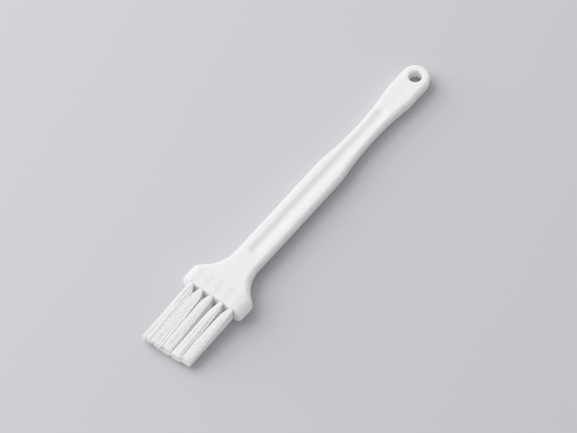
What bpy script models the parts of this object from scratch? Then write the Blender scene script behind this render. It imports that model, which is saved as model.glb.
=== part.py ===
"""Pastry brush: a one-piece moulded handle with three rows of stapled bristle tufts.

Metres, +Z up. The brush lies along Y with its bristles towards -Y. Its block rests
on z = 0, and the origin is under the middle of the whole length.
"""
import math

import bmesh
import bpy
from mathutils import Matrix, Vector

MM = 0.001
GAP = 0.3 * MM                  # left between pieces that touch on the real brush

# Tuft holes and bristles. The block is as thick and as wide as its holes need.
BRISTLE_LENGTH = 34.0 * MM      # beyond the block
ROWS = "abc"                    # top, middle and bottom
COLUMNS = 5
COLUMN_PITCH = 5.85 * MM
TUFT_HOLE_DIAMETER = 2.4 * MM
WALL_BETWEEN_ROWS = 0.6 * MM
WALL_TO_FACE = 0.8 * MM         # from an outer row's holes to the block's face
MARGIN_TO_SIDE = 5.55 * MM      # from an outer column's middle to the block's side
BEHIND_HOLES = 0.2 * MM         # from the holes' ends to where the flare begins
ROW_SWING = 30.0                # degrees that a row of bristles bends each way
TUFT_TIP_WIDTH = 5.05 * MM      # the filaments fan out until the tufts nearly meet
TIP_ROW_PITCH = 1.4 * MM        # the rows draw together into a thin edge
TIP_DROP = 2.2 * MM             # of that edge's middle below the middle of the block
FOLD_THICKNESS = 0.7 * MM       # of the bundle where it turns round its staple

# Anchor staples, cut from flat wire
STAPLE_BITE = 0.3 * MM          # each end, into the wall of the hole
STAPLE_DEPTH = 1.4 * MM
STAPLE_THICKNESS = 0.35 * MM

# Handle. Stretches are given in order from the flat front face of the block.
HANDLE_LENGTH = 161.9 * MM
BLOCK_LENGTH = 9.8 * MM         # to where the flare would begin with a sharp corner
BLOCK_SIDE_FLAT = 0.8 * MM      # left between the large radii of the block's edges
BLOCK_CORNER_RADIUS = 3.4 * MM  # in plan, where the block turns into the flare
FRONT_EDGE_RADIUS = 0.7 * MM    # less than the wall over the holes, which then open on a flat face
FLARE_RADIUS = 20.3 * MM        # in plan, hollow, tangent to the shaft
SHAFT_WIDTH = 13.75 * MM
SHAFT_THICKNESS = 7.0 * MM
SHAFT_EDGE_RADIUS = 1.9 * MM
TAPER_LENGTH = 25.0 * MM        # hollow, tangent to the waist
WAIST_LENGTH = 1.0 * MM
WAIST_WIDTH = 9.8 * MM
SWELL_LENGTH = 25.0 * MM        # hollow, tangent to the waist
LOBE_LENGTH = 20.0 * MM
SHOULDER_EASE = 2.5 * MM        # each way from where a straight side meets a hollow

# Grip groove, the same on both faces, and the hang hole
GROOVE_WIDTH = 5.5 * MM
GROOVE_DEPTH = 1.3 * MM
GROOVE_AFTER_FLARE = 2.0 * MM
GROOVE_TO_TIP = 30.4 * MM
HANG_HOLE_DIAMETER = 6.6 * MM
HANG_HOLE_RIM_RADIUS = 0.7 * MM
LOBE_WALL = 3.6 * MM            # round the hang hole

# Facets
CORNER_STEPS = 4
RIM_STEPS = 3
END_STEPS = 8
ROUND_SIDES = 12
HOLE_SIDES = 32
GROOVE_SIDES = 20

ROW_PITCH = TUFT_HOLE_DIAMETER + WALL_BETWEEN_ROWS
BLOCK_THICKNESS = (len(ROWS) - 1) * ROW_PITCH + TUFT_HOLE_DIAMETER + 2 * WALL_TO_FACE
BLOCK_WIDTH = (COLUMNS - 1) * COLUMN_PITCH + 2 * MARGIN_TO_SIDE
BLOCK_EDGE_RADIUS = (BLOCK_THICKNESS - BLOCK_SIDE_FLAT) / 2
TUFT_HOLE_DEPTH = BLOCK_LENGTH - BEHIND_HOLES
SWING_LOSS = ROW_PITCH * (1 - math.cos(math.radians(ROW_SWING)))
TUFT_THICKNESS = ROW_PITCH - SWING_LOSS - GAP
TUFT_TIP_THICKNESS = TIP_ROW_PITCH - SWING_LOSS - GAP
STAPLE_LENGTH = TUFT_HOLE_DIAMETER + 2 * STAPLE_BITE
STAPLE_MIDDLE = TUFT_HOLE_DEPTH - 2 * GAP - FOLD_THICKNESS - STAPLE_DEPTH / 2
HINGE_OFFSET = TUFT_THICKNESS / 2 + GAP

FLARE_RISE = (BLOCK_WIDTH - SHAFT_WIDTH) / 2
FLARE_LENGTH = math.sqrt(FLARE_RADIUS ** 2 - (FLARE_RADIUS - FLARE_RISE) ** 2)
SHAFT_START = BLOCK_LENGTH + FLARE_LENGTH
LOBE_START = HANDLE_LENGTH - LOBE_LENGTH
WAIST_END = LOBE_START - SWELL_LENGTH
WAIST_START = WAIST_END - WAIST_LENGTH
SHAFT_END = WAIST_START - TAPER_LENGTH
LOBE_RADIUS = HANG_HOLE_DIAMETER / 2 + LOBE_WALL
LOBE_CENTRE = HANDLE_LENGTH - LOBE_RADIUS
GROOVE_START = SHAFT_START + GROOVE_AFTER_FLARE
GROOVE_END = HANDLE_LENGTH - GROOVE_TO_TIP

MID_HEIGHT = BLOCK_THICKNESS / 2
FRONT_Y = (BRISTLE_LENGTH - HANDLE_LENGTH) / 2


def clear_scene():
    """Remove what the file opened with."""
    for obj in list(bpy.data.objects):
        bpy.data.objects.remove(obj, do_unlink=True)


def finish(name, colour, roughness, metallic=0.0):
    """Return one plain material."""
    material = bpy.data.materials.new(name)
    material.use_nodes = True
    shader = material.node_tree.nodes["Principled BSDF"]
    shader.inputs["Base Color"].default_value = (*colour, 1.0)
    shader.inputs["Roughness"].default_value = roughness
    shader.inputs["Metallic"].default_value = metallic
    return material


def ease(value):
    """Blend 0 to 1 with level ends."""
    return (1 - math.cos(math.pi * min(max(value, 0.0), 1.0))) / 2


def between(start, end, value):
    """How far value is from start to end, as a share."""
    return (value - start) / (end - start)


def flare_half_width(y):
    """Half width of the hollow flare, which meets the shaft at a tangent."""
    run = max(SHAFT_START - y, 0.0)
    rise = FLARE_RADIUS - math.sqrt(max(FLARE_RADIUS ** 2 - run ** 2, 0.0))
    return SHAFT_WIDTH / 2 + rise


def corner_blend(a, b, reach):
    """The smaller of two half widths, rounded where they cross."""
    share = max(reach - abs(a - b), 0.0) / reach
    return min(a, b) - share * share * reach / 4


def hollow_half_width(y):
    """Half width past the shaft: a straight side that meets the waist's long hollow."""
    if y < WAIST_START:
        side, length, run = SHAFT_WIDTH / 2, TAPER_LENGTH, WAIST_START - y
    else:
        side, length, run = LOBE_RADIUS, SWELL_LENGTH, max(y - WAIST_END, 0.0)
    rise = side - WAIST_WIDTH / 2
    radius = (length ** 2 + rise ** 2) / (2 * rise)
    run = min(run, length + 2 * SHOULDER_EASE)
    hollow = WAIST_WIDTH / 2 + radius - math.sqrt(radius ** 2 - run ** 2)
    return corner_blend(side, hollow, SHOULDER_EASE * 2 * rise / length)


def half_width(y):
    """Half width of the handle in plan, short of its round end."""
    if y < (SHAFT_START + SHAFT_END) / 2:
        return corner_blend(BLOCK_WIDTH / 2, flare_half_width(y), BLOCK_CORNER_RADIUS)
    return hollow_half_width(y)


def thinning(y):
    """0 at the block, 1 on the shaft, for the thickness and the edge radius."""
    return ease(between(BLOCK_LENGTH, SHAFT_START, y))


def half_thickness(y):
    """Half thickness of the handle."""
    return (BLOCK_THICKNESS + (SHAFT_THICKNESS - BLOCK_THICKNESS) * thinning(y)) / 2


def edge_radius(y):
    """Radius of the long edges."""
    return BLOCK_EDGE_RADIUS + (SHAFT_EDGE_RADIUS - BLOCK_EDGE_RADIUS) * thinning(y)


def section(y, half_w, half_t, radius, turn=0.0):
    """Rounded rectangle across the handle, inset along the outline's normal in plan."""
    corner = []
    for step in range(CORNER_STEPS + 1):
        angle = math.pi / 2 * step / CORNER_STEPS
        inset = radius * (1 - math.cos(angle))
        corner.append((
            half_w - inset * math.cos(turn),
            y - inset * math.sin(turn),
            half_t - radius + radius * math.sin(angle),
        ))
    top_right = [Vector(point) for point in corner]
    top_left = [Vector((-p.x, p.y, p.z)) for p in reversed(top_right)]
    bottom_left = [Vector((-p.x, p.y, -p.z)) for p in top_right]
    bottom_right = [Vector((p.x, p.y, -p.z)) for p in reversed(top_right)]
    return top_right + top_left + bottom_left + bottom_right


def spaced(start, end, count):
    """Count values from start, stopping short of end."""
    return [start + (end - start) * i / count for i in range(count)]


def handle_sections():
    """Every cross-section of the handle, from the front face to the round end."""
    rings = []
    for step in range(RIM_STEPS + 1):
        angle = math.pi / 2 * step / RIM_STEPS
        inset = FRONT_EDGE_RADIUS * (1 - math.sin(angle))
        y = FRONT_EDGE_RADIUS * (1 - math.cos(angle))
        rings.append(section(y, BLOCK_WIDTH / 2 - inset, BLOCK_THICKNESS / 2 - inset,
                             BLOCK_EDGE_RADIUS - inset))
    corner_start = BLOCK_LENGTH - BLOCK_CORNER_RADIUS / 2
    corner_end = BLOCK_LENGTH + BLOCK_CORNER_RADIUS
    places = [BLOCK_LENGTH - BLOCK_CORNER_RADIUS]
    places += spaced(corner_start, corner_end, 5)
    places += spaced(corner_end, SHAFT_START, 10)
    places += [SHAFT_START, SHAFT_END - SHOULDER_EASE]
    places += spaced(SHAFT_END, WAIST_START, 6)
    places += [WAIST_START]
    places += spaced(WAIST_END, LOBE_START, 6)
    places += [LOBE_START, LOBE_START + SHOULDER_EASE]
    for y in places:
        rings.append(section(y, half_width(y), half_thickness(y), edge_radius(y)))
    for step in range(END_STEPS + 1):
        turn = math.pi / 2 * step / END_STEPS
        y = LOBE_CENTRE + LOBE_RADIUS * math.sin(turn)
        rings.append(section(y, LOBE_RADIUS * math.cos(turn), SHAFT_THICKNESS / 2,
                             SHAFT_EDGE_RADIUS, turn))
    return rings


def mesh_from_rings(name, rings):
    """Skin a closed body over rings of equal count, capping its ends."""
    bm = bmesh.new()
    loops = [[bm.verts.new(point) for point in ring] for ring in rings]
    count = len(rings[0])
    for near, far in zip(loops, loops[1:]):
        for i in range(count):
            j = (i + 1) % count
            bm.faces.new((near[i], near[j], far[j], far[i]))
    bm.faces.new(list(reversed(loops[0])))
    bm.faces.new(loops[-1])
    bmesh.ops.remove_doubles(bm, verts=bm.verts, dist=0.001 * MM)
    bmesh.ops.recalc_face_normals(bm, faces=bm.faces)
    return mesh_from(name, bm)


def mesh_from(name, bm):
    """Store a bmesh as a smooth mesh with sharp creases kept."""
    mesh = bpy.data.meshes.new(name)
    bm.to_mesh(mesh)
    bm.free()
    mesh.shade_smooth()
    mesh.set_sharp_from_angle(angle=math.radians(35))
    return mesh


def place(name, mesh, material=None, parent=None, at=(0, 0, 0)):
    """Put one named object in the scene."""
    obj = bpy.data.objects.new(name, mesh)
    bpy.context.scene.collection.objects.link(obj)
    obj.location = at
    obj.parent = parent
    if material:
        obj.data.materials.clear()
        obj.data.materials.append(material)
    return obj


def pivot(name, at, parent=None):
    """An empty that carries what is placed from it."""
    empty = bpy.data.objects.new(name, None)
    bpy.context.scene.collection.objects.link(empty)
    empty.location = at
    empty.parent = parent
    return empty


def cut(target, cutter, label):
    """Cut one guide out of the target and keep the guide out of the build."""
    cutter.hide_render = True
    cutter.display_type = "WIRE"
    boolean = target.modifiers.new(label, "BOOLEAN")
    boolean.operation = "DIFFERENCE"
    boolean.object = cutter


def column_x(column):
    """Middle of a column of tufts, counted from 0 at -X."""
    return (column - (COLUMNS - 1) / 2) * COLUMN_PITCH


def row_z(row):
    """Height of a row of tufts above the middle of the block, counted from the top."""
    return ((len(ROWS) - 1) / 2 - row) * ROW_PITCH


def tip_z(row):
    """Height of a row's cut end above the middle of the block."""
    return ((len(ROWS) - 1) / 2 - row) * TIP_ROW_PITCH - TIP_DROP


def tuft_places():
    """Name ending, column and row of each tuft."""
    return [(f"{letter}{column + 1}", column, row)
            for row, letter in enumerate(ROWS) for column in range(COLUMNS)]


def tuft_holes_mesh():
    """Fifteen blind round cutters that start in front of the block."""
    bm = bmesh.new()
    lead = 2 * FRONT_EDGE_RADIUS
    for _, column, row in tuft_places():
        middle = Vector((column_x(column), (TUFT_HOLE_DEPTH - lead) / 2, row_z(row)))
        matrix = Matrix.Translation(middle) @ Matrix.Rotation(math.pi / 2, 4, "X")
        bmesh.ops.create_cone(
            bm, cap_ends=True, segments=ROUND_SIDES, radius1=TUFT_HOLE_DIAMETER / 2,
            radius2=TUFT_HOLE_DIAMETER / 2, depth=TUFT_HOLE_DEPTH + lead, matrix=matrix)
    return mesh_from("tuft_holes", bm)


def box_mesh(name, size):
    """A box of a size, about its own middle."""
    bm = bmesh.new()
    bmesh.ops.create_cube(bm, size=1.0, matrix=Matrix.Diagonal((*size, 1.0)))
    return mesh_from(name, bm)


def staple_slots_mesh():
    """The room that each staple's ends have cut for themselves beside the hole."""
    bm = bmesh.new()
    size = (STAPLE_LENGTH + 2 * GAP, STAPLE_DEPTH + 2 * GAP, STAPLE_THICKNESS + 2 * GAP)
    for _, column, row in tuft_places():
        middle = Vector((column_x(column), STAPLE_MIDDLE, row_z(row)))
        matrix = Matrix.Translation(middle) @ Matrix.Diagonal((*size, 1.0))
        bmesh.ops.create_cube(bm, size=1.0, matrix=matrix)
    return mesh_from("staple_slots", bm)


def groove_mesh():
    """A round-ended bar that leaves one grip groove."""
    half = GROOVE_WIDTH / 2
    radius = (half ** 2 + GROOVE_DEPTH ** 2) / (2 * GROOVE_DEPTH)
    end_steps = 5
    sweep = [(GROOVE_START + half, -90 + 90 * i / end_steps) for i in range(end_steps + 1)]
    sweep += [(GROOVE_END - half, 90 * i / end_steps) for i in range(end_steps + 1)]
    rings = []
    for middle, angle in sweep:
        reach = radius * math.cos(math.radians(angle))
        y = middle + half * math.sin(math.radians(angle))
        rings.append([
            Vector((reach * math.cos(turn), y, reach * math.sin(turn)))
            for turn in (2 * math.pi * i / GROOVE_SIDES for i in range(GROOVE_SIDES))
        ])
    return mesh_from_rings("groove_bar", rings), radius


def hang_hole_mesh():
    """A turned plug whose ends flare out to leave rounded rims."""
    hole = HANG_HOLE_DIAMETER / 2
    face = SHAFT_THICKNESS / 2
    rim = HANG_HOLE_RIM_RADIUS
    profile = [(hole + rim, face + rim)]
    for step in range(RIM_STEPS + 1):
        angle = math.pi / 2 * step / RIM_STEPS
        profile.append((hole + rim * (1 - math.sin(angle)), face - rim * (1 - math.cos(angle))))
    profile += [(reach, -z) for reach, z in reversed(profile)]
    rings = [
        [Vector((reach * math.cos(turn), reach * math.sin(turn), z))
         for turn in (2 * math.pi * i / HOLE_SIDES for i in range(HOLE_SIDES))]
        for reach, z in profile
    ]
    return mesh_from_rings("hang_hole_plug", rings)


def build_handle(frame):
    """The handle with its block, groove, hang hole and fifteen blind tuft holes."""
    material = finish("handle_plastic", (0.82, 0.82, 0.82), 0.42)
    handle = place("handle", mesh_from_rings("handle", handle_sections()), material, frame)
    cut(handle, place("tuft_holes", tuft_holes_mesh(), parent=frame), "Tuft holes")
    cut(handle, place("staple_slots", staple_slots_mesh(), parent=frame), "Staple slots")
    bar, radius = groove_mesh()
    height = SHAFT_THICKNESS / 2 + radius - GROOVE_DEPTH
    for side, z in (("top", height), ("bottom", -height)):
        cut(handle, place(f"groove_{side}", bar, parent=frame, at=(0, 0, z)), f"Groove {side}")
    hole_at = (0, LOBE_CENTRE, 0)
    cut(handle, place("hang_hole", hang_hole_mesh(), parent=frame, at=hole_at), "Hang hole")


def build_roots(frame):
    """The folded end of each tuft, in its hole and round its staple."""
    reach = TUFT_HOLE_DEPTH - GAP
    radius = TUFT_HOLE_DIAMETER / 2 - GAP
    window = (TUFT_HOLE_DIAMETER, STAPLE_DEPTH + 2 * GAP, STAPLE_THICKNESS + 2 * GAP)
    for ending, column, row in tuft_places():
        middle = (column_x(column), 0, row_z(row))
        rings = [
            [Vector((radius * math.cos(turn), y, radius * math.sin(turn)))
             for turn in (2 * math.pi * i / ROUND_SIDES for i in range(ROUND_SIDES))]
            for y in (0.0, reach)
        ]
        name = f"tuft_root_{ending}"
        root = place(name, mesh_from_rings(name, rings), bristle_material(ending), frame, middle)
        at = (middle[0], STAPLE_MIDDLE, middle[2])
        guide = place(f"window_{ending}", box_mesh(f"window_{ending}", window), None, frame, at)
        cut(root, guide, "Staple window")


def build_staples(frame):
    """One flat steel anchor across each hole."""
    size = (STAPLE_LENGTH, STAPLE_DEPTH, STAPLE_THICKNESS)
    for ending, column, row in tuft_places():
        material = finish(f"staple_steel_{ending}", (0.6, 0.6, 0.62), 0.3, 1.0)
        at = (column_x(column), STAPLE_MIDDLE, row_z(row))
        place(f"staple_{ending}", box_mesh(f"staple_{ending}", size), material, frame, at)


def bristle_material(ending):
    """White filament, one material for each tuft."""
    return finish(f"bristle_{ending}", (0.84, 0.84, 0.82), 0.5)


def tuft_mesh(name, column, row):
    """The free length: a round root on the hinge, fanning out to a thin, square-cut tip."""
    root = TUFT_THICKNESS / 2
    length = BRISTLE_LENGTH - HINGE_OFFSET
    tip_pitch = TUFT_TIP_WIDTH + GAP
    lean = column_x(column) * (tip_pitch / COLUMN_PITCH - 1)
    sink = tip_z(row) - row_z(row)
    end_steps = 3
    stages = []
    for step in range(end_steps):
        angle = math.pi / 2 * step / end_steps
        stages.append((root * math.cos(angle), root * math.sin(angle), root * math.sin(angle), 0.0))
    body_steps = 4
    for step in range(body_steps + 1):
        share = step / body_steps
        half_x = root + (TUFT_TIP_WIDTH / 2 - root) * share
        half_z = root + (TUFT_TIP_THICKNESS / 2 - root) * share
        stages.append((-length * share, half_x, half_z, share))
    rings = [
        [Vector((lean * share + half_x * math.cos(turn), y, sink * share + half_z * math.sin(turn)))
         for turn in (2 * math.pi * i / ROUND_SIDES for i in range(ROUND_SIDES))]
        for y, half_x, half_z, share in stages
    ]
    return mesh_from_rings(name, rings)


def build_tufts(frame):
    """Three rows of free bristle, each turning about the line where it leaves the block."""
    for row, letter in enumerate(ROWS):
        hinge = pivot(f"row_{letter}_hinge", (0, -HINGE_OFFSET, row_z(row)), frame)
        for column in range(COLUMNS):
            ending = f"{letter}{column + 1}"
            name = f"tuft_{ending}"
            at = (column_x(column), 0, 0)
            place(name, tuft_mesh(name, column, row), bristle_material(ending), hinge, at)


def main():
    """Build the brush."""
    clear_scene()
    frame = pivot("brush", (0, FRONT_Y, MID_HEIGHT))
    build_handle(frame)
    build_roots(frame)
    build_staples(frame)
    build_tufts(frame)
    bpy.context.view_layer.update()


main()
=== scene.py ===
"""Pastry brush: a white moulded handle with folded, stapled bristle tufts, on a pale floor."""
import logging
import math
import random
from collections.abc import Callable
from dataclasses import dataclass
from enum import Enum

import bmesh
import bpy
from mathutils import Matrix, Vector


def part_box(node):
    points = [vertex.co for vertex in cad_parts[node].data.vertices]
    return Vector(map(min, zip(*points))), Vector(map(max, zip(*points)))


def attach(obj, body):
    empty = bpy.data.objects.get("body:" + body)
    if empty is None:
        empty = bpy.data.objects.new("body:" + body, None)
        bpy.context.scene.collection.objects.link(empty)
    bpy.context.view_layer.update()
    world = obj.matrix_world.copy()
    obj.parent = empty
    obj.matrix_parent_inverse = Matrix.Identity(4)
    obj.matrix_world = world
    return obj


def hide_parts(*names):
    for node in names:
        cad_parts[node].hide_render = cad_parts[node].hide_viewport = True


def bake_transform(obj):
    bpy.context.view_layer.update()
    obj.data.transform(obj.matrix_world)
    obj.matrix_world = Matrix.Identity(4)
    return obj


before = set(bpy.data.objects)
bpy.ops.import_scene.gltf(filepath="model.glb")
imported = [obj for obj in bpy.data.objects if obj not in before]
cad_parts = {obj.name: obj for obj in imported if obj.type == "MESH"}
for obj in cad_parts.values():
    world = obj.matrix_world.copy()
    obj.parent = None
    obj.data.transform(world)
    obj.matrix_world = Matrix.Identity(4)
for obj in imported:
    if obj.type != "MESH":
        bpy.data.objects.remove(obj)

MM = 0.001
COLOUR_VARIATION = 0.015  # each way, from the handling marks
MARKS_ROUGHEN = 0.10      # added to the roughness where the marks are strongest
log = logging.getLogger("pastry_brush")


class Side(Enum):
    """The two broad faces of the brush."""

    TOP = 1
    BOTTOM = -1


# --- working by hand: selecting, shaping and finishing -------------------------------------


def start_clean() -> None:
    """Leave edit mode and deselect every object."""
    if bpy.context.object and bpy.context.object.mode != "OBJECT":
        bpy.ops.object.mode_set(mode="OBJECT")
    bpy.ops.object.select_all(action="DESELECT")


def name_active(name: str) -> bpy.types.Object:
    """Name the active object and its mesh.

    Args:
        name: The piece's name.

    Returns:
        The active object.
    """
    piece = bpy.context.object
    piece.name = name
    piece.data.name = name
    return piece


def pick(
    piece: bpy.types.Object,
    verts: Callable[[Vector], bool] | None = None,
    edges: Callable[[bmesh.types.BMEdge], bool] | None = None,
) -> int:
    """Select vertices by place, or edges by a test, in edit mode.

    Args:
        piece: The mesh object being edited.
        verts: True for the places to select.
        edges: True for the edges to select.

    Returns:
        How many elements were selected.
    """
    bpy.ops.mesh.select_all(action="DESELECT")
    mesh = bmesh.from_edit_mesh(piece.data)
    count = 0
    if verts:
        bpy.ops.mesh.select_mode(type="VERT")
        for vert in mesh.verts:
            vert.select = verts(vert.co)
            count += vert.select
    if edges:
        bpy.ops.mesh.select_mode(type="EDGE")
        for edge in mesh.edges:
            chosen = edges(edge)
            edge.select_set(chosen)
            count += chosen
    mesh.select_flush_mode()
    bmesh.update_edit_mesh(piece.data)
    return count


def cut_away(piece: bpy.types.Object, tool: bpy.types.Object) -> None:
    """Cut one closed tool out of a piece and throw the tool away.

    Args:
        piece: The piece that is cut.
        tool: The closed solid that is taken out of it.
    """
    start_clean()
    bpy.context.view_layer.objects.active = piece
    cut = piece.modifiers.new("Cut", "BOOLEAN")
    cut.operation = "DIFFERENCE"
    cut.object = tool
    bpy.ops.object.modifier_apply(modifier=cut.name)
    bpy.data.objects.remove(tool)


def smooth(piece: bpy.types.Object, angle: float = 40.0) -> None:
    """Shade a piece smooth, keeping edges sharper than the angle in degrees.

    Args:
        piece: The mesh object.
        angle: Edges that turn further than this stay sharp.
    """
    start_clean()
    piece.select_set(True)
    bpy.context.view_layer.objects.active = piece
    bpy.ops.object.shade_smooth_by_angle(angle=math.radians(angle))


def ease(share: float) -> float:
    """Blend 0 to 1 with level ends.

    Args:
        share: How far along, clamped to 0 and 1.

    Returns:
        The eased share.
    """
    return (1 - math.cos(math.pi * min(max(share, 0.0), 1.0))) / 2


def rounded_smaller(a: float, b: float, reach: float) -> float:
    """The smaller of two half widths, rounded where they cross.

    Args:
        a: One half width.
        b: The other.
        reach: How far apart they are where the rounding begins.

    Returns:
        The rounded half width.
    """
    share = max(reach - abs(a - b), 0.0) / reach
    return min(a, b) - share * share * reach / 4


def round_inset(radius: float, depth: float) -> float:
    """How far a rounded edge stands back at a depth behind its front.

    Args:
        radius: Of the edge.
        depth: Distance behind the front face.

    Returns:
        The inset from the full outline.
    """
    left = max(radius - depth, 0.0)
    return radius - math.sqrt(radius ** 2 - left ** 2)


# --- finishes ---------------------------------------------------------------------------------


def grain_group() -> bpy.types.ShaderNodeTree:
    """Build the moulded-surface group: fine grain and faint handling marks.

    Returns:
        A group with a colour, a height for a Bump node and a value for roughness.
    """
    tree = bpy.data.node_groups.new("surface_grain", "ShaderNodeTree")
    sockets = (("Scale", 900.0), ("Grain", 0.5), ("Marks", 0.5), ("Roughness", 0.4))
    for label, value in sockets:
        made = tree.interface.new_socket(name=label, in_out="INPUT", socket_type="NodeSocketFloat")
        made.default_value = value
    for way in ("INPUT", "OUTPUT"):
        tree.interface.new_socket(name="Colour", in_out=way, socket_type="NodeSocketColor")
    for label in ("Height", "Roughness"):
        tree.interface.new_socket(name=label, in_out="OUTPUT", socket_type="NodeSocketFloat")
    nodes, links = tree.nodes, tree.links
    entry, leave = nodes.new("NodeGroupInput"), nodes.new("NodeGroupOutput")
    place = nodes.new("ShaderNodeTexCoord")
    fine = nodes.new("ShaderNodeTexNoise")
    fine.inputs["Detail"].default_value = 3.0
    links.new(place.outputs["Object"], fine.inputs["Vector"])
    links.new(entry.outputs["Scale"], fine.inputs["Scale"])
    stretch = nodes.new("ShaderNodeMapping")
    stretch.inputs["Scale"].default_value = (600.0, 40.0, 600.0)
    links.new(place.outputs["Object"], stretch.inputs["Vector"])
    marks = nodes.new("ShaderNodeTexNoise")
    marks.inputs["Scale"].default_value = 1.0
    marks.inputs["Detail"].default_value = 4.0
    links.new(stretch.outputs["Vector"], marks.inputs["Vector"])
    grain = nodes.new("ShaderNodeMath")
    grain.operation = "MULTIPLY"
    links.new(fine.outputs["Fac"], grain.inputs[0])
    links.new(entry.outputs["Grain"], grain.inputs[1])
    height = nodes.new("ShaderNodeMath")
    height.operation = "MULTIPLY_ADD"
    links.new(marks.outputs["Fac"], height.inputs[0])
    links.new(entry.outputs["Marks"], height.inputs[1])
    links.new(grain.outputs["Value"], height.inputs[2])
    rough = nodes.new("ShaderNodeMath")
    rough.operation = "MULTIPLY_ADD"
    rough.inputs[1].default_value = MARKS_ROUGHEN
    links.new(marks.outputs["Fac"], rough.inputs[0])
    links.new(entry.outputs["Roughness"], rough.inputs[2])
    shade = nodes.new("ShaderNodeMapRange")
    shade.inputs["From Min"].default_value = 0.3
    shade.inputs["From Max"].default_value = 0.7
    shade.inputs["To Min"].default_value = 1 - COLOUR_VARIATION
    shade.inputs["To Max"].default_value = 1 + COLOUR_VARIATION
    links.new(marks.outputs["Fac"], shade.inputs["Value"])
    tinted = nodes.new("ShaderNodeVectorMath")
    tinted.operation = "SCALE"
    links.new(entry.outputs["Colour"], tinted.inputs[0])
    links.new(shade.outputs["Result"], tinted.inputs["Scale"])
    links.new(tinted.outputs["Vector"], leave.inputs["Colour"])
    links.new(height.outputs["Value"], leave.inputs["Height"])
    links.new(rough.outputs["Value"], leave.inputs["Roughness"])
    return tree


@dataclass(frozen=True)
class Finish:
    """A surface: its colour, how it shines and how coarse its grain is.

    Emission is added light that the real surface doesn't give.
    """

    name: str
    colour: tuple[float, float, float]
    roughness: float
    metallic: float = 0.0
    scatter: float = 0.0
    depth: float = 1.5 * MM
    emission: float = 0.0
    grain_scale: float = 900.0
    grain: float = 0.3
    marks: float = 0.3
    bump: float = 0.02 * MM

    def material(self) -> bpy.types.Material:
        """Build the material.

        Returns:
            A node material that reads the surface-grain group.
        """
        made = bpy.data.materials.new(self.name)
        made.use_nodes = True
        nodes, links = made.node_tree.nodes, made.node_tree.links
        shader = nodes["Principled BSDF"]
        shader.inputs["Metallic"].default_value = self.metallic
        shader.inputs["Subsurface Weight"].default_value = self.scatter
        shader.inputs["Subsurface Radius"].default_value = (1.0, 0.95, 0.9)
        shader.inputs["Subsurface Scale"].default_value = self.depth
        shader.inputs["Emission Color"].default_value = (*self.colour, 1.0)
        shader.inputs["Emission Strength"].default_value = self.emission
        grain = nodes.new("ShaderNodeGroup")
        grain.node_tree = bpy.data.node_groups.get("surface_grain") or grain_group()
        grain.inputs["Colour"].default_value = (*self.colour, 1.0)
        grain.inputs["Scale"].default_value = self.grain_scale
        grain.inputs["Grain"].default_value = self.grain
        grain.inputs["Marks"].default_value = self.marks
        grain.inputs["Roughness"].default_value = self.roughness
        relief = nodes.new("ShaderNodeBump")
        relief.inputs["Distance"].default_value = self.bump
        links.new(grain.outputs["Height"], relief.inputs["Height"])
        links.new(relief.outputs["Normal"], shader.inputs["Normal"])
        links.new(grain.outputs["Roughness"], shader.inputs["Roughness"])
        links.new(grain.outputs["Colour"], shader.inputs["Base Color"])
        return made


HANDLE_PLASTIC = Finish(
    "handle_plastic", (0.93, 0.93, 0.932), 0.36, scatter=1.0, depth=2.6 * MM)
# The bristles' faint emission is painted light: a glow that lifts the shade between the filaments
# and in the gaps between tufts.
BRISTLE_FILAMENT = Finish(
    "bristle_filament", (0.98, 0.98, 0.98), 0.38, emission=0.06, grain_scale=3000.0)
ANCHOR_STEEL = Finish(
    "anchor_steel", (0.60, 0.60, 0.62), 0.28, metallic=1.0, grain_scale=2500.0)


# --- the handle -------------------------------------------------------------------------------


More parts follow.
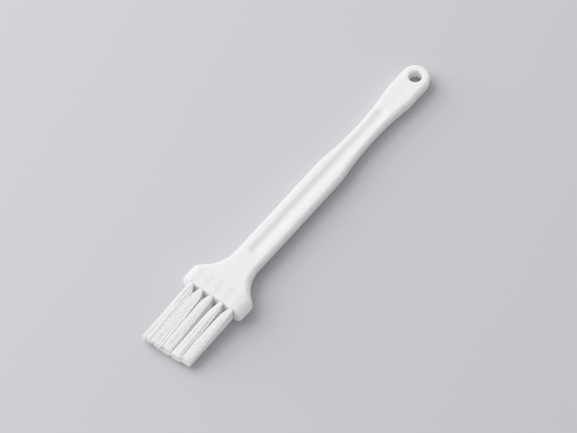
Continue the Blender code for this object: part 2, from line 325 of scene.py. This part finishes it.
@dataclass
class Handle:
    """The one-piece moulding. Lengths along the handle run from the block's front face."""

    low: Vector
    high: Vector
    holes: list[Vector]
    hole_depth: float = 9.6 * MM
    hole_radius: float = 1.2 * MM
    block_length: float = 9.8 * MM
    corner_radius: float = 3.4 * MM
    side_flat: float = 0.8 * MM
    front_radius: float = 0.7 * MM
    front_side_radius: float = 1.6 * MM
    flare_radius: float = 20.3 * MM
    shaft_width: float = 13.75 * MM
    shaft_thickness: float = 7.0 * MM
    shaft_edge: float = 1.9 * MM
    taper_length: float = 25.0 * MM
    waist_length: float = 1.0 * MM
    waist_width: float = 9.8 * MM
    swell_length: float = 25.0 * MM
    lobe_length: float = 20.0 * MM
    lobe_radius: float = 6.9 * MM
    shoulder_ease: float = 2.5 * MM
    groove_width: float = 5.5 * MM
    groove_depth: float = 1.3 * MM
    groove_after_flare: float = 2.0 * MM
    groove_to_tip: float = 30.4 * MM
    groove_soft: float = 0.35
    groove_fade: float = 0.35
    dish_depth: float = 0.25 * MM
    dish_length: float = 0.75
    dish_width: float = 0.8
    hang_radius: float = 3.3 * MM
    rim_radius: float = 0.8 * MM
    hole_lead: float = 0.1 * MM
    corner_steps: int = 8
    front_steps: int = 8
    rim_steps: int = 6
    cross_cuts: int = 47
    end_steps: int = 32

    def __post_init__(self) -> None:
        """Work out the places that follow from the sizes."""
        self.width = self.high.x - self.low.x
        self.thickness = self.high.z - self.low.z
        self.length = self.high.y - self.low.y
        self.middle = (self.high.z + self.low.z) / 2
        self.block_edge = (self.thickness - self.side_flat) / 2
        rise = (self.width - self.shaft_width) / 2
        run = math.sqrt(self.flare_radius ** 2 - (self.flare_radius - rise) ** 2)
        self.shaft_start = self.block_length + run
        self.lobe_start = self.length - self.lobe_length
        self.waist_end = self.lobe_start - self.swell_length
        self.waist_start = self.waist_end - self.waist_length
        self.shaft_end = self.waist_start - self.taper_length
        self.lobe_centre = self.length - self.lobe_radius
        self.groove_start = self.shaft_start + self.groove_after_flare
        self.groove_end = self.length - self.groove_to_tip

    def half_width(self, y: float) -> float:
        """Half width in plan, short of the round end.

        Args:
            y: Distance from the front face.

        Returns:
            Half the width there.
        """
        if y < (self.shaft_start + self.shaft_end) / 2:
            run = max(self.shaft_start - y, 0.0)
            reach = self.flare_radius
            hollow = reach - math.sqrt(max(reach ** 2 - run ** 2, 0.0))
            return rounded_smaller(
                self.width / 2, self.shaft_width / 2 + hollow, self.corner_radius)
        if y < self.waist_start:
            side, length, run = self.shaft_width / 2, self.taper_length, self.waist_start - y
        else:
            side, length, run = self.lobe_radius, self.swell_length, max(y - self.waist_end, 0.0)
        rise = side - self.waist_width / 2
        radius = (length ** 2 + rise ** 2) / (2 * rise)
        run = min(run, length + 2 * self.shoulder_ease)
        hollow = self.waist_width / 2 + radius - math.sqrt(radius ** 2 - run ** 2)
        return rounded_smaller(side, hollow, self.shoulder_ease * 2 * rise / length)

    def rest_tilt(self) -> float:
        """The angle of the table that touches both the block and the hang end."""
        rise = (self.thickness - self.shaft_thickness) / 2
        return math.atan2(rise, self.length - self.block_length)

    def thinning(self, y: float) -> float:
        """0 at the block and 1 on the shaft."""
        return ease((y - self.block_length) / (self.shaft_start - self.block_length))

    def stations(self) -> list[float]:
        """Where the cross-sections stand, closer together where the shape turns.

        Returns:
            Distances from the front face, in order.
        """
        groove_cap = self.groove_width / 2 + 0.5 * MM
        corner_start = self.block_length - self.corner_radius
        corner_end = self.block_length + self.corner_radius
        stretches = (
            (self.front_side_radius, corner_start, 3.0 * MM),
            (corner_start, corner_end, 0.5 * MM),
            (corner_end, self.groove_start - 0.5 * MM, 0.8 * MM),
            (self.groove_start - 0.5 * MM, self.groove_start + groove_cap, 0.25 * MM),
            (self.groove_start + groove_cap, self.shaft_end - self.shoulder_ease, 3.0 * MM),
            (self.shaft_end - self.shoulder_ease, self.groove_end - groove_cap, 1.0 * MM),
            (self.groove_end - groove_cap, self.groove_end + 0.5 * MM, 0.25 * MM),
            (self.groove_end + 0.5 * MM, self.lobe_centre, 0.8 * MM),
        )
        places = []
        for start, end, step in stretches:
            count = max(round((end - start) / step), 1)
            places += [start + (end - start) * i / count for i in range(count)]
        return places + [self.lobe_centre]

    def add_section(self, y: float, width: float, thickness: float, radius: float) -> None:
        """Add one open rounded-rectangle loop across the handle, in edit mode.

        Args:
            y: Distance from the front face.
            width: Across the handle.
            thickness: Through it.
            radius: Of its corners.
        """
        at = (0.0, self.low.y + y, self.middle)
        bpy.ops.mesh.primitive_plane_add(size=1.0, location=at, rotation=(math.pi / 2, 0.0, 0.0))
        bpy.ops.transform.resize(value=(width, 1.0, thickness), center_override=at)
        bpy.ops.mesh.bevel(
            offset=radius, segments=self.corner_steps, affect="VERTICES", clamp_overlap=False)
        bpy.ops.mesh.delete(type="ONLY_FACE")

    def loft(self) -> bpy.types.Object:
        """Stand the sections along the handle and bridge them.

        Returns:
            The open-ended body, closed at the block's front face.
        """
        start_clean()
        bpy.ops.mesh.primitive_plane_add(size=1.0)
        piece = name_active("handle_moulding")
        bpy.ops.object.mode_set(mode="EDIT")
        bpy.ops.mesh.select_all(action="SELECT")
        bpy.ops.mesh.delete(type="VERT")
        for step in range(self.front_steps):
            y = self.front_side_radius * (1 - math.cos(math.pi / 2 * step / self.front_steps))
            aside = round_inset(self.front_side_radius, y)
            down = round_inset(self.front_radius, y)
            self.add_section(y, self.width - 2 * aside, self.thickness - 2 * down,
                             self.block_edge - down)
        for y in self.stations():
            thin = self.thinning(y)
            thickness = self.thickness + (self.shaft_thickness - self.thickness) * thin
            edge = self.block_edge + (self.shaft_edge - self.block_edge) * thin
            self.add_section(y, 2 * self.half_width(y), thickness, edge)
        bpy.ops.mesh.select_all(action="SELECT")
        bpy.ops.mesh.bridge_edge_loops()
        front = self.low.y + MM / 100
        pick(piece, verts=lambda co: co.y < front)
        bpy.ops.mesh.edge_face_add()
        return piece

    def round_end(self, piece: bpy.types.Object) -> None:
        """Subdivide the broad faces and turn the last section round the lobe.

        Args:
            piece: The body, in edit mode.
        """
        pick(piece, edges=self.is_broad_edge)
        bpy.ops.mesh.subdivide(number_cuts=self.cross_cuts)
        centre = self.low.y + self.lobe_centre
        near = MM / 200
        pick(piece, edges=lambda edge: all(
            abs(vert.co.y - centre) < near and vert.co.x > -near for vert in edge.verts))
        bpy.ops.mesh.spin(steps=self.end_steps, angle=-math.pi,
                          center=(0.0, centre, self.middle), axis=(0.0, 0.0, 1.0))
        bpy.ops.mesh.select_all(action="SELECT")
        bpy.ops.mesh.remove_doubles(threshold=near)
        bpy.ops.mesh.normals_make_consistent(inside=False)

    def is_broad_edge(self, edge: bmesh.types.BMEdge) -> bool:
        """True for the long edges that run straight across a broad face."""
        a, b = (vert.co for vert in edge.verts)
        level = abs(a.y - b.y) < MM / 100 and abs(a.z - b.z) < MM / 100
        return level and abs(a.x + b.x) < MM / 100 and abs(a.x - b.x) > 2 * MM

    def relief(self, x: float, y: float) -> float:
        """How far the surface of a broad face is sunk at a place.

        Args:
            x: Across the handle.
            y: Distance from the front face.

        Returns:
            The depth of the groove and the thumb dish together.
        """
        half = self.groove_width / 2
        nearest = min(max(y, self.groove_start + half), self.groove_end - half)
        share = math.hypot(x, y - nearest) / half
        bowl = 1 - share ** 2
        groove = self.groove_depth * (bowl + math.sqrt(bowl ** 2 + self.groove_soft ** 2)) / 2
        fade = ease((1 + self.groove_fade - share) / self.groove_fade)
        dish_middle = (self.groove_end + self.lobe_centre - self.hang_radius) / 2
        dish_reach = self.lobe_centre - self.hang_radius - self.groove_end
        along = (y - dish_middle) / (self.dish_length * dish_reach)
        across = x / (self.dish_width * self.lobe_radius)
        dish = self.dish_depth * ease(1 - math.hypot(along, across))
        return groove * fade + dish

    def press_relief(self, piece: bpy.types.Object) -> None:
        """Sink the grooves and dishes into both broad faces.

        Args:
            piece: The body, in object mode.
        """
        for vert in piece.data.vertices:
            height = vert.co.z - self.middle
            y = vert.co.y - self.low.y
            if y < self.shaft_start or abs(height) < self.shaft_thickness / 4:
                continue
            for side in Side:
                if height * side.value > 0:
                    vert.co.z -= side.value * self.relief(vert.co.x, y)

    def turned_plug(self, name: str, profile: list[tuple[float, float]],
                    at: Vector, turn: Matrix) -> bpy.types.Object:
        """Turn a closed cutter from its profile.

        Args:
            name: The cutter's name.
            profile: Radius and height of each point, from one end to the other.
            at: Where the middle of its axis goes.
            turn: How its axis is turned from upright.

        Returns:
            The cutter.
        """
        start_clean()
        bpy.ops.mesh.primitive_circle_add(
            vertices=48, radius=profile[0][0], fill_type="NGON", location=(0, 0, profile[0][1]))
        plug = name_active(name)
        bpy.ops.object.transform_apply(location=True)
        bpy.ops.object.mode_set(mode="EDIT")
        bpy.ops.mesh.select_all(action="SELECT")
        radius, height = profile[0]
        for next_radius, next_height in profile[1:]:
            bpy.ops.mesh.extrude_region_move(
                TRANSFORM_OT_translate={"value": (0, 0, next_height - height)})
            scale = next_radius / radius
            bpy.ops.transform.resize(
                value=(scale, scale, 1.0), center_override=(0, 0, next_height))
            radius, height = next_radius, next_height
        bpy.ops.mesh.select_all(action="SELECT")
        bpy.ops.mesh.normals_make_consistent(inside=False)
        bpy.ops.object.mode_set(mode="OBJECT")
        plug.data.transform(Matrix.Translation(at) @ turn)
        return plug

    def cut_hang_hole(self, piece: bpy.types.Object) -> None:
        """Cut the hang hole with its rounded rims."""
        face = self.shaft_thickness / 2
        upper = [(self.hang_radius + self.rim_radius, face + MM)]
        for step in range(self.rim_steps + 1):
            angle = math.pi / 2 * step / self.rim_steps
            upper.append((
                self.hang_radius + self.rim_radius * (1 - math.sin(angle)),
                face - self.rim_radius * (1 - math.cos(angle)),
            ))
        profile = upper + [(radius, -height) for radius, height in reversed(upper)]
        at = Vector((0, self.low.y + self.lobe_centre, self.middle))
        cut_away(piece, self.turned_plug("hang_hole_plug", profile, at, Matrix.Identity(4)))

    def cut_tuft_holes(self, piece: bpy.types.Object) -> None:
        """Drill the blind holes, each with a small lead-in at its mouth."""
        lead = self.hole_lead
        profile = [
            (self.hole_radius + 2 * lead, -lead),
            (self.hole_radius, lead),
            (self.hole_radius, self.hole_depth),
        ]
        turn = Matrix.Rotation(-math.pi / 2, 4, "X")
        for hole in self.holes:
            at = Vector((hole.x, self.low.y, hole.z))
            cut_away(piece, self.turned_plug("tuft_hole_plug", profile, at, turn))

    def build(self) -> bpy.types.Object:
        """Model the whole moulding.

        Returns:
            The finished piece, riding on the handle's body.
        """
        piece = self.loft()
        self.round_end(piece)
        bpy.ops.object.mode_set(mode="OBJECT")
        self.press_relief(piece)
        self.cut_hang_hole(piece)
        self.cut_tuft_holes(piece)
        smooth(piece, 32.0)
        piece.data.materials.clear()
        piece.data.materials.append(HANDLE_PLASTIC.material())
        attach(piece, "handle_body")
        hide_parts("handle")
        return piece


# --- the bristles -----------------------------------------------------------------------------


@dataclass
class Bristles:
    """Tufts of filaments, each filament folded in two round its staple."""

    face: float
    tip: float
    floor: float
    middle: float
    filament_radius: float = 0.09 * MM
    pairs: int = 100
    root_radius: float = 1.17 * MM
    tip_half_width: float = 2.35 * MM
    tip_half_height: float = 0.7 * MM
    tip_pitch: float = 5.2 * MM
    tip_row_pitch: float = 1.4 * MM
    tip_drop: float = 2.2 * MM
    parting: float = 0.5 * MM
    closing: tuple[float, ...] = (0.42, 0.12, 0.20, 0.40, 0.32, 0.42)
    closing_below: tuple[float, ...] = (0.42, 0.05, 0.05, 0.05, 0.05, 0.42)
    raggedness: float = 0.45 * MM
    slant: float = 0.04
    stray_share: float = 0.04
    stray_reach: float = 4.0
    sway_across: float = 0.10
    sway_up: float = 0.08
    scatter_across: float = 0.10
    scatter_up: float = 0.15
    fold_flatness: float = 0.6
    bend_before: float = 0.3 * MM
    bend_length: float = 18.0 * MM
    fold_steps: int = 3
    steps: int = 9
    seed: int = 7

    def tip_centre(self, column: int, columns: int) -> float:
        """Where a column of tufts ends, with the parting between the third and the fourth.

        Args:
            column: Counted from 0 at -X.
            columns: How many there are.

        Returns:
            Its place across the brush.
        """
        side = 1 if column > columns // 2 else -1
        return (column - (columns - 1) / 2) * self.tip_pitch + side * self.parting / 2

    def leg(self, rng: random.Random, root: Vector, tip: Vector, spread: float) -> list[Vector]:
        """The free run of one filament, from the block's face to its cut end.

        Args:
            rng: The tuft's own random numbers.
            root: Where it leaves the block.
            tip: Where it ends.
            spread: How late it fans out: near 0 at once, 1 evenly all the way.

        Returns:
            Its points, from root to tip.
        """
        sway_x = rng.gauss(0.0, self.sway_across) * MM
        sway_z = rng.gauss(0.0, self.sway_up) * MM
        points = []
        for step in range(1, self.steps + 1):
            share = step / self.steps
            point = root.lerp(tip, share)
            early = share ** spread - share
            bow = math.sin(math.pi * share)
            point.x += (tip.x - root.x) * early + sway_x * bow
            point.z += sway_z * bow
            points.append(point)
        return points

    def pair(self, rng: random.Random, hole: Vector, staple: tuple[Vector, Vector],
             tip_centre: Vector, closing: tuple[float, ...]) -> list[Vector]:
        """One filament: in along the hole, round the back of the staple and out again.

        Args:
            rng: The tuft's own random numbers.
            hole: The middle of the hole's mouth.
            staple: The staple's lowest and highest corners.
            tip_centre: The middle of the tuft's cut end.
            closing: How late the tuft's left and right sides fan out.

        Returns:
            Its points from one cut end to the other.
        """
        low, high = staple
        clear = (high.z - low.z) / 2 + self.filament_radius
        half = self.root_radius - self.filament_radius
        across = rng.uniform(-1.0, 1.0)
        room = math.sqrt(1 - (0.9 * across) ** 2) * half
        lift = clear + (room - clear) * math.sqrt(rng.random())
        ends = []
        for side in (1, -1):
            loose = self.stray_reach if rng.random() < self.stray_share else 1.0
            share_x = across + rng.gauss(0.0, self.scatter_across) * loose
            share_z = side * lift / half + rng.gauss(0.0, self.scatter_up) * loose
            root = Vector((hole.x + 0.9 * across * half, self.face, hole.z + side * lift))
            tip = Vector((
                tip_centre.x + share_x * self.tip_half_width,
                tip_centre.y + self.slant * tip_centre.x + abs(rng.gauss(0.0, self.raggedness)),
                tip_centre.z + share_z * self.tip_half_height,
            ))
            tip.z = max(tip.z, self.floor + 3 * self.filament_radius)
            spread = closing[1] if share_x > 0 else closing[0]
            ends.append([root, *self.leg(rng, root, tip, spread)])
        back = high.y + self.filament_radius
        fold = [
            Vector((ends[0][0].x, back + lift * math.cos(angle) * self.fold_flatness,
                    hole.z + lift * math.sin(angle)))
            for angle in (math.pi / 2 - math.pi * i / self.fold_steps
                          for i in range(self.fold_steps + 1))
        ]
        return list(reversed(ends[0])) + fold + ends[1]

    def build_tuft(self, name: str, hole: Vector, staple: tuple[Vector, Vector],
                   tip_centre: Vector, closing: tuple[float, ...]) -> bpy.types.Object:
        """Model one tuft as a single mesh of separate filaments.

        Args:
            name: The piece's name.
            hole: The middle of the hole's mouth.
            staple: The staple's lowest and highest corners.
            tip_centre: The middle of the tuft's cut end.
            closing: How late its left and right sides fan out.

        Returns:
            The tuft.
        """
        rng = random.Random(f"{self.seed}{name}")
        tip_centre = tip_centre + Vector((rng.gauss(0.0, 0.2), abs(rng.gauss(0.0, 0.4)), 0.0)) * MM
        strands = bpy.data.curves.new(name, "CURVE")
        strands.dimensions = "3D"
        strands.bevel_depth = self.filament_radius
        strands.bevel_resolution = 0
        strands.use_fill_caps = True
        for _ in range(self.pairs):
            points = self.pair(rng, hole, staple, tip_centre, closing)
            spline = strands.splines.new("POLY")
            spline.points.add(len(points) - 1)
            for slot, point in zip(spline.points, points):
                slot.co = (*point, 1.0)
        start_clean()
        tuft = bpy.data.objects.new(name, strands)
        bpy.context.scene.collection.objects.link(tuft)
        tuft.select_set(True)
        bpy.context.view_layer.objects.active = tuft
        bpy.ops.object.convert(target="MESH")
        tuft = name_active(name)
        smooth(tuft, 120.0)
        return tuft

    def build(self, rows: dict[str, str], columns: int) -> list[bpy.types.Object]:
        """Model every tuft.

        Args:
            rows: Each row's letter and the name of a body, which is not used.
            columns: Tufts in a row.

        Returns:
            The tufts.
        """
        material = BRISTLE_FILAMENT.material()
        tufts = []
        for row, (letter, body) in enumerate(rows.items()):
            for column in range(columns):
                ending = f"{letter}{column + 1}"
                low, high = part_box(f"tuft_root_{ending}")
                hole = Vector(((low.x + high.x) / 2, self.face, (low.z + high.z) / 2))
                level = ((len(rows) - 1) / 2 - row) * self.tip_row_pitch - self.tip_drop
                tip = Vector((self.tip_centre(column, columns), self.tip, self.middle + level))
                gaps = self.closing_below if row else self.closing
                tuft = self.build_tuft(f"bristles_{ending}", hole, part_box(f"staple_{ending}"),
                                       tip, gaps[column:column + 2])
                tuft.data.materials.clear()
                tuft.data.materials.append(material)
                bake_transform(tuft)
                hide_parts(f"tuft_{ending}", f"tuft_root_{ending}")
                tufts.append(tuft)
                log.info("%s: %d folded filaments, %d faces", tuft.name, self.pairs,
                         len(tuft.data.polygons))
        return tufts


# --- the staples ------------------------------------------------------------------------------


@dataclass
class Staples:
    """The flat steel anchors, which keep their CAD solids and get their steel."""

    endings: list[str]

    def dress(self) -> None:
        """Give every staple its steel."""
        steel = ANCHOR_STEEL.material()
        for ending in self.endings:
            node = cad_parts[f"staple_{ending}"]
            node.data.materials.clear()
            node.data.materials.append(steel)
        log.info("staples: %d dressed", len(self.endings))


# --- the studio -------------------------------------------------------------------------------


@dataclass
class Studio:
    """A pale floor, soft light and a long lens."""

    front: float
    block_end: float
    floor_tilt: float
    look_from_front: tuple[float, float, float] = (1.8 * MM, 55.5 * MM, 10.0 * MM)
    azimuth: float = 38.0
    elevation: float = 57.6
    lens: float = 400.0
    distance: float = 2980.0 * MM
    floor_gap: float = 0.05 * MM

    def target(self) -> Vector:
        """The point beside the brush that the camera and the lamp face."""
        across, along, up = self.look_from_front
        return Vector((across, self.front + along, up))

    def direction(self, azimuth: float, elevation: float) -> Vector:
        """Unit vector from the brush towards a viewer or a lamp.

        Args:
            azimuth: In degrees, 0 in front of the bristles.
            elevation: In degrees above the floor.

        Returns:
            The direction.
        """
        turn, rise = math.radians(azimuth), math.radians(elevation)
        return Vector((math.sin(turn) * math.cos(rise), -math.cos(turn) * math.cos(rise),
                       math.sin(rise)))

    def set_camera(self) -> None:
        """Stand the camera where the brush is seen from."""
        lens = bpy.data.cameras.new("camera")
        lens.lens = self.lens
        camera = bpy.data.objects.new("camera", lens)
        bpy.context.scene.collection.objects.link(camera)
        back = self.direction(self.azimuth, self.elevation)
        camera.location = self.target() + back * self.distance
        camera.rotation_euler = (-back).to_track_quat("-Z", "Y").to_euler()
        bpy.context.scene.camera = camera

    def lay_floor(self) -> None:
        """Lay the floor under the block and the hang end."""
        start_clean()
        bpy.ops.mesh.primitive_plane_add(size=12.0)
        floor = name_active("floor")
        floor.data.transform(Matrix.Translation((0, self.block_end, -self.floor_gap))
                             @ Matrix.Rotation(self.floor_tilt, 4, "X"))
        paper = bpy.data.materials.new("floor_paper")
        paper.use_nodes = True
        shader = paper.node_tree.nodes["Principled BSDF"]
        shader.inputs["Base Color"].default_value = (0.60, 0.60, 0.62, 1.0)
        shader.inputs["Roughness"].default_value = 0.9
        shader.inputs["Specular IOR Level"].default_value = 0.1
        floor.data.materials.append(paper)

    def add_lamp(self, name: str, azimuth: float, elevation: float, reach: float,
                 size: float, power: float) -> None:
        """Hang one soft square lamp that faces the brush.

        Args:
            name: The lamp's name.
            azimuth: Where it stands, in degrees.
            elevation: How high, in degrees.
            reach: Its distance.
            size: Its side.
            power: In watts.
        """
        light = bpy.data.lights.new(name, "AREA")
        light.shape = "SQUARE"
        light.size = size
        light.energy = power
        lamp = bpy.data.objects.new(name, light)
        bpy.context.scene.collection.objects.link(lamp)
        back = self.direction(azimuth, elevation)
        lamp.location = self.target() + back * reach
        lamp.rotation_euler = (-back).to_track_quat("-Z", "Y").to_euler()

    def light(self) -> None:
        """Light the brush from its upper left, fill it all round and set the tone curve."""
        self.add_lamp("window", -80.0, 34.0, 1.5, 2.0, 31.0)
        world = bpy.data.worlds.new("studio")
        world.use_nodes = True
        sky = world.node_tree.nodes["Background"]
        sky.inputs["Color"].default_value = (1.0, 1.0, 1.01, 1.0)
        sky.inputs["Strength"].default_value = 0.57
        bpy.context.scene.world = world
        bpy.context.scene.view_settings.view_transform = "Khronos PBR Neutral"


# --- everything together ----------------------------------------------------------------------


def main() -> None:
    """Build, dress and light the brush."""
    logging.basicConfig(level=logging.INFO, format="%(message)s")
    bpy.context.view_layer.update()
    low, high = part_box("handle")
    rows = {"a": "upper_row", "b": "middle_row", "c": "lower_row"}
    columns = 5
    endings = [f"{letter}{column + 1}" for letter in rows for column in range(columns)]
    roots = [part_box(f"tuft_root_{ending}") for ending in endings]
    holes = [(near + far) / 2 for near, far in roots]
    moulding = Handle(low, high, holes)
    studio = Studio(low.y, low.y + moulding.block_length, moulding.rest_tilt())
    studio.set_camera()
    studio.lay_floor()
    studio.light()
    handle = moulding.build()
    log.info("%s: %d faces", handle.name, len(handle.data.polygons))
    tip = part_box("tuft_b3")[0].y
    middle = (low.z + high.z) / 2
    Bristles(face=low.y, tip=tip, floor=low.z, middle=middle).build(rows, columns)
    Staples(endings).dress()


if __name__ == "__main__":
    main()
